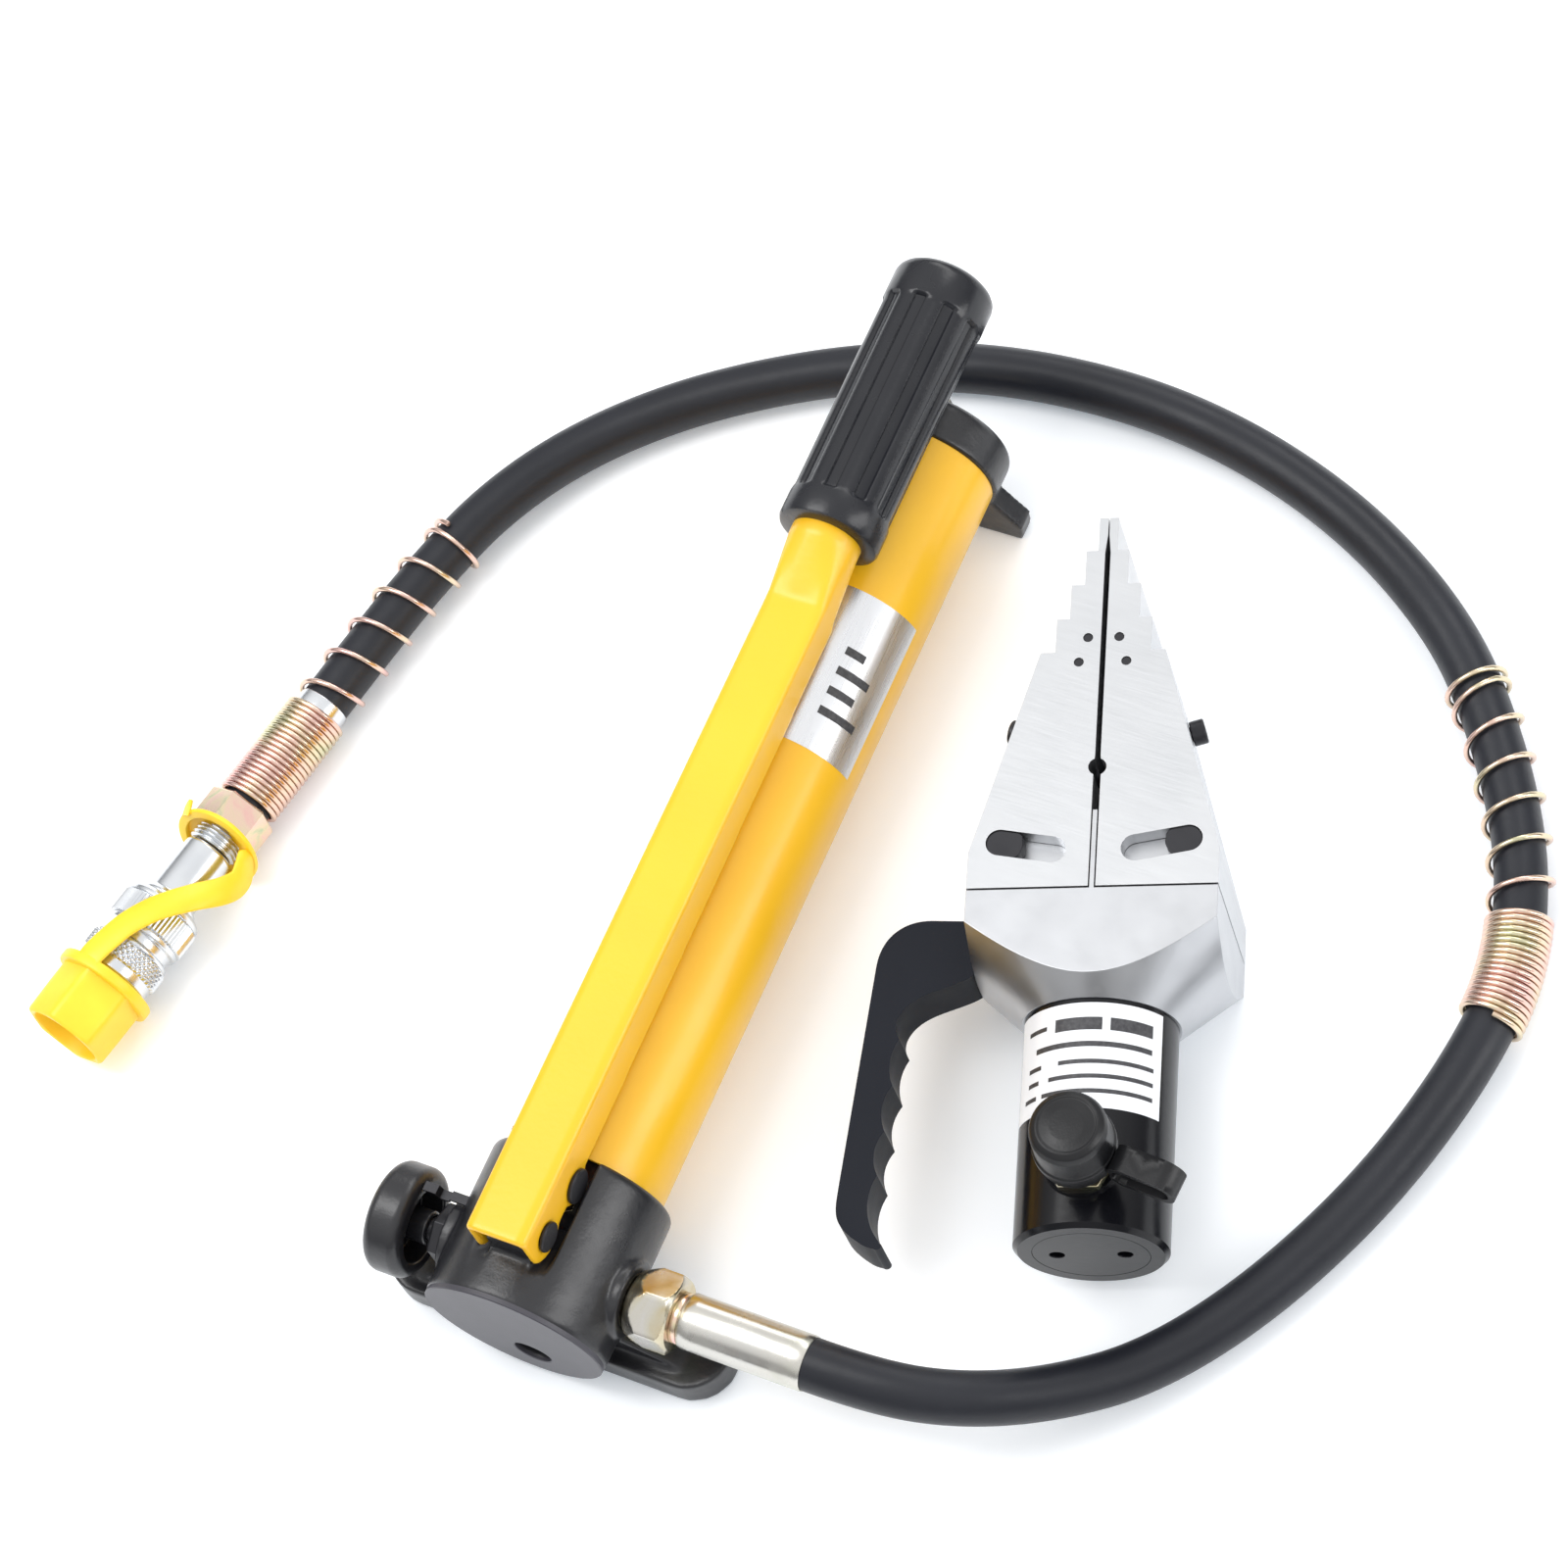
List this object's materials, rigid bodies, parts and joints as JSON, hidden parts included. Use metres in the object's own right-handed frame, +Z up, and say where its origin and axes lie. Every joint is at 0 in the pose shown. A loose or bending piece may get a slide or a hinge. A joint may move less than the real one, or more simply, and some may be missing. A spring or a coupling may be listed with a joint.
{
  "type": "hydraulic wedge flange spreader set",
  "caption": "Hydraulic wedge spreader with two stepped jaws and a side handle, with its lever hand pump and pressure hose.",
  "frame": {"origin": "middle of the pump's front foot, on the floor", "axes": "+Y along the pump from its front face to its tail, +X towards the pump's hose side, +Z up"},
  "size_m": [0.4849, 0.4045, 0.1015],
  "materials": {
    "black_enamel": "satin black enamel over cast iron",
    "yellow_enamel": "gloss yellow enamel",
    "gloss_black": "gloss black enamel",
    "handle_black": "satin black coating",
    "jaw_steel": "bright ground and polished steel",
    "black_oxide": "black oxide",
    "hard_chrome": "hard chrome",
    "zinc_plate": "bright zinc plate with a faint yellow tint",
    "spring_wire": "yellow zinc plated wire",
    "grip_plastic": "moulded black plastic, fluted",
    "hose_rubber": "smooth black rubber",
    "cap_rubber": "moulded black rubber",
    "yellow_plastic": "soft yellow plastic",
    "seal": "seal rubber",
    "strainer_mesh": "wire gauze"
  },
  "bodies": {
    "pump": {"pump_head": "black_enamel", "reservoir_tube": "yellow_enamel", "tail_cap": "black_enamel", "tie_rod": "zinc_plate", "oil_filler_plug": "zinc_plate", "suction_strainer": "strainer_mesh", "plunger_gland": "zinc_plate", "fulcrum_pin": "black_oxide", "release_gland": "black_oxide", "port_adapter": "zinc_plate", "hose_swivel_nut": "zinc_plate", "hose_ferrule": "zinc_plate", "hose": "hose_rubber", "middle_spring_guard": "spring_wire", "end_spring_guard": "spring_wire", "hose_tail_fitting": "zinc_plate", "coupler_body": "zinc_plate", "coupler_poppet": "zinc_plate", "lanyard_ring": "yellow_plastic"},
    "pump_lever": {"lever": "yellow_enamel", "lever_grip": "grip_plastic", "cross_pin": "black_oxide"},
    "pump_plunger": {"plunger": "hard_chrome"},
    "release_valve": {"release_spindle": "black_oxide", "release_knob": "black_enamel"},
    "collar": {"coupler_collar": "zinc_plate"},
    "hose_plug": {"dust_plug": "yellow_plastic", "lanyard_strap": "yellow_plastic"},
    "spreader": {"barrel": "gloss_black", "base_plug": "gloss_black", "guide_block": "jaw_steel", "left_slide_pin": "black_oxide", "right_slide_pin": "black_oxide", "left_upper_shoe": "black_oxide", "left_lower_shoe": "black_oxide", "right_upper_shoe": "black_oxide", "right_lower_shoe": "black_oxide", "handle": "handle_black", "handle_screw_1": "black_oxide", "handle_screw_2": "black_oxide", "tool_nipple": "zinc_plate", "tool_cap_ring": "cap_rubber"},
    "ram_and_wedge": {"ram": "hard_chrome", "ram_seal": "seal", "wedge": "black_oxide"},
    "jaw_left": {"left_jaw": "jaw_steel", "left_dowel_1": "black_oxide", "left_dowel_2": "black_oxide", "left_side_screw": "black_oxide"},
    "jaw_right": {"right_jaw": "jaw_steel", "right_dowel_1": "black_oxide", "right_dowel_2": "black_oxide", "right_side_screw": "black_oxide"},
    "nipple_cap": {"tool_dust_cap": "cap_rubber", "tool_cap_strap": "cap_rubber"}
  },
  "joints": [
    {"name": "lever_swing", "type": "hinge", "parent": "pump", "child": "pump_lever", "pos_m": [0, 0.0026, 0.072], "axis": [1, 0, 0], "range_deg": [0, 50]},
    {"name": "plunger_stroke", "type": "slide", "parent": "pump", "child": "pump_plunger", "axis": [0, 0, 1], "range_m": [0, 0.0169]},
    {"name": "release_turn", "type": "hinge", "parent": "pump", "child": "release_valve", "pos_m": [-0.05, 0.0016, 0.036], "axis": [1, 0, 0], "range_deg": [0, 360]},
    {"name": "collar_spin", "type": "hinge", "parent": "pump", "child": "collar", "pos_m": [-0.1848, 0.1265, 0.01425], "axis": [-0.1845, -0.9813, 0.0542], "continuous": true},
    {"name": "hose_plug_pull", "type": "slide", "parent": "pump", "child": "hose_plug", "axis": [-0.1845, -0.9813, 0.0542], "range_m": [0, 0.022]},
    {"name": "tool_lift", "type": "slide", "parent": "pump", "child": "spreader", "axis": [0, 0, 1], "range_m": [0, 0.15]},
    {"name": "ram_stroke", "type": "slide", "parent": "spreader", "child": "ram_and_wedge", "axis": [-0.342, 0.9397, 0], "range_m": [0, 0.045]},
    {"name": "left_jaw_spread", "type": "slide", "parent": "spreader", "child": "jaw_left", "axis": [-0.9838, -0.1791, 0], "range_m": [0, 0.0129]},
    {"name": "right_jaw_spread", "type": "slide", "parent": "spreader", "child": "jaw_right", "axis": [0.8688, 0.4952, 0], "range_m": [0, 0.0129]},
    {"name": "nipple_cap_pull", "type": "slide", "parent": "spreader", "child": "nipple_cap", "axis": [0, 0, 1], "range_m": [0, 0.025]}
  ],
  "couplings": [
    {"joint": "plunger_stroke", "follows": "lever_swing", "m_per_rad": 0.0192},
    {"joint": "left_jaw_spread", "follows": "ram_stroke", "ratio": 0.2854},
    {"joint": "right_jaw_spread", "follows": "ram_stroke", "ratio": 0.2854}
  ]
}
